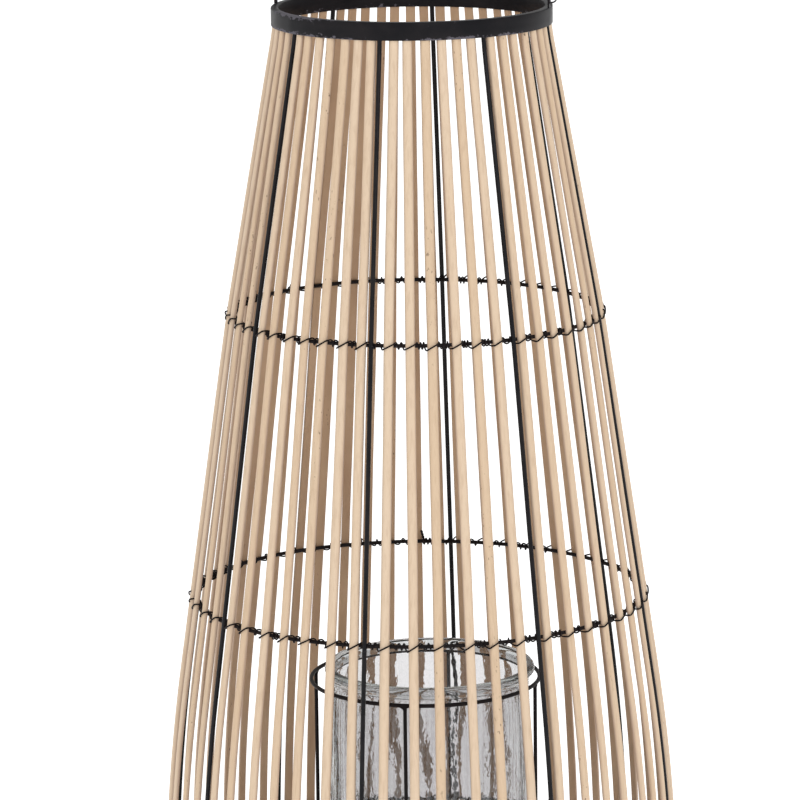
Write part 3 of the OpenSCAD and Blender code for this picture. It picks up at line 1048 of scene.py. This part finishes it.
handle = {
    "wire": 2.2 * mm,
    "eyeRadius": 2.3 * mm,
    "jumpWire": 0.96 * mm,
    "jumpRadius": 2.72 * mm,
    "jumpGap": 3.0,           # degrees left open on each side of the cut
    "lugHole": 1.25 * mm,
    "lugEdge": 0.15 * mm,
}
hinge = Vector(next(j["pos_m"] for j in frame["joints"] if j["name"] == "bail_swing"))


def buildLug(name, node):
    # flat tab with a round top and a punched hole, standing on the band's upper edge
    low, high = boxOf(node)
    half = (high.y - low.y) / 2
    x0, x1 = low.x, high.x
    n = 40
    outline, hole = [], []
    for k in range(n):
        a = 2 * math.pi * k / n
        dy, dz = math.cos(a), math.sin(a)
        hole.append((handle["lugHole"] * dy, handle["lugHole"] * dz))
        if dz >= 0:
            outline.append((half * dy, half * dz))
        else:
            s = 1 / max(abs(dy), abs(dz))
            outline.append((half * dy * s, (hinge.z - low.z) * dz * s))
    e = handle["lugEdge"]
    verts = []
    for ring, x, grow in ((hole, x0 + e, 0), (hole, x0, e), (outline, x0, -e), (outline, x0 + e, 0),
                          (outline, x1 - e, 0), (outline, x1, -e), (hole, x1, e), (hole, x1 - e, 0)):
        for point in ring:
            d = Vector(point)
            d += d.normalized() * grow
            verts.append(Vector((x, d.x, hinge.z + d.y)))
    faces = []
    addQuadStrip(faces, 0, 8, n, True)
    faces = [tuple(reversed(f)) for f in faces]
    piece = newPiece(name, verts, faces, "cage", looks["band"], [node])
    sharpenBy(piece, 50)


def buildJumpRing(name, node):
    low, high = boxOf(node)
    c = (low + high) / 2
    r = handle["jumpRadius"]
    path = []
    gap = math.radians(handle["jumpGap"])
    for k in range(73):
        a = math.radians(50) + gap + (2 * math.pi - 2 * gap) * k / 72
        twist = 0.12 * mm * (k / 72 - 0.5)
        path.append(Vector((c.x + r * math.cos(a), c.y + twist, c.z + r * math.sin(a))))
    verts, faces = [], []
    addTube(verts, faces, path, handle["jumpWire"] / 2, 12, away=steady(Vector((0.0, 1.0, 0.0))))
    newPiece(name, verts, faces, "handle", looks["jump"], [node])


def buildBail():
    low, high = boxOf("bail")
    half = (high.x - low.x) / 2 - handle["wire"] / 2
    eye = handle["eyeRadius"]
    crown = high.z - handle["wire"] / 2
    archZ = crown - half
    eyeZ = low.z + eye + handle["wire"] / 2
    points = []
    # left eye, left leg, arch, right leg, right eye
    turn = [math.radians(90 - 330 * k / 22) for k in range(23)]
    for a in reversed(turn):
        points.append(Vector((-half, eye * math.cos(a), eyeZ + eye * math.sin(a))))
    legSteps = 14
    for k in range(1, legSteps):
        points.append(Vector((-half, 0.0, eyeZ + eye + (archZ - eyeZ - eye) * k / legSteps)))
    for k in range(49):
        a = math.pi - math.pi * k / 48
        points.append(Vector((half * math.cos(a), 0.0, archZ + half * math.sin(a))))
    for k in range(1, legSteps):
        points.append(Vector((half, 0.0, archZ - (archZ - eyeZ - eye) * k / legSteps)))
    for a in turn:
        points.append(Vector((half, eye * math.cos(a), eyeZ + eye * math.sin(a))))
    verts, faces = [], []
    addCarriedTube(verts, faces, points, handle["wire"] / 2, 12)
    newPiece("bail_wire", verts, faces, "handle", looks["bail"], ["bail"])


buildLug("lug_right", "handle_lug_right")
buildLug("lug_left", "handle_lug_left")
buildJumpRing("jump_ring_r", "jump_ring_right")
buildJumpRing("jump_ring_l", "jump_ring_left")
buildBail()
print("handle built")


# floor, light and camera

stage = {
    "floor": 30.0,
    "floorGlow": 0.62,
    "sky": 0.72,
    # name, angle round the lantern from +X, height and distance in metres, size, power
    "lamps": (
        ("keyLight", -58.0, 1.4, 1.9, 1.0, 9.5),
        ("fillLight", -130.0, 0.9, 2.2, 1.4, 2.5),
        ("topLight", 80.0, 2.4, 1.0, 1.2, 2.0),
    ),
}


def buildStage():
    s = stage["floor"]
    mesh = bpy.data.meshes.new("floor")
    mesh.from_pydata([(-s, -s, 0), (s, -s, 0), (s, s, 0), (-s, s, 0)], [], [(0, 1, 2, 3)])
    floor = bpy.data.objects.new("floor", mesh)
    scene.collection.objects.link(floor)
    m = Nodes("paleFloor")
    mottle = m.noise(m.place((1.0, 1.0, 1.0)), 3.0, 3.0, 0.5)
    tint = m.mix(mottle, (0.93, 0.93, 0.93, 1.0), (0.9, 0.9, 0.9, 1.0))
    shader = m.add("BsdfPrincipled", Base_Color=tint, Roughness=0.8)
    shader.inputs["Emission Color"].default_value = (1.0, 1.0, 1.0, 1.0)
    shader.inputs["Emission Strength"].default_value = stage["floorGlow"]
    mesh.materials.append(m.finish(shader))

    world = bpy.data.worlds.new("studio")
    scene.world = world
    world.use_nodes = True
    sky = world.node_tree.nodes["Background"]
    sky.inputs["Color"].default_value = (1.0, 1.0, 1.0, 1.0)
    sky.inputs["Strength"].default_value = stage["sky"]
    scene.view_settings.view_transform = "Standard"

    middle = Vector((0.0, 0.0, 0.5 * cage["height"]))
    for name, angle, height, away, size, power in stage["lamps"]:
        lamp = bpy.data.lights.new(name, "AREA")
        lamp.energy = power
        lamp.size = size
        holder = bpy.data.objects.new(name, lamp)
        scene.collection.objects.link(holder)
        holder.location = polar(angle, away, height)
        holder.rotation_euler = (middle - holder.location).to_track_quat("-Z", "Y").to_euler()


view = {
    "azimuth": 13.5,        # degrees round from looking along +Y
    "distance": 2.742,      # from the lantern's axis
    "rise": 0.3432,         # above the top band's lower edge
    "pitch": 11.506,        # degrees down
    "roll": -0.7,
    "leftStep": 0.0092,     # sideways, so that the lantern stands a little right of the middle
    "lens": 221.9,
}


def buildCamera():
    data = bpy.data.cameras.new("camera")
    data.lens = view["lens"]
    data.sensor_width = 36.0
    data.clip_end = 100.0
    camera = bpy.data.objects.new("camera", data)
    scene.collection.objects.link(camera)
    a = math.radians(view["azimuth"] - 90)
    back = Vector((math.cos(a), math.sin(a), 0.0))
    left = Vector((math.sin(a), -math.cos(a), 0.0))
    up = Vector((0, 0, bandLow.z + view["rise"]))
    camera.location = back * view["distance"] + left * view["leftStep"] + up
    pitch = Matrix.Rotation(math.radians(90 - view["pitch"]), 4, "X")
    turn = Matrix.Rotation(math.radians(view["azimuth"]), 4, "Z")
    roll = Matrix.Rotation(math.radians(view["roll"]), 4, "Z")
    camera.matrix_world = Matrix.Translation(camera.location) @ turn @ pitch @ roll
    scene.camera = camera


buildStage()
buildCamera()
print("stage and camera set")
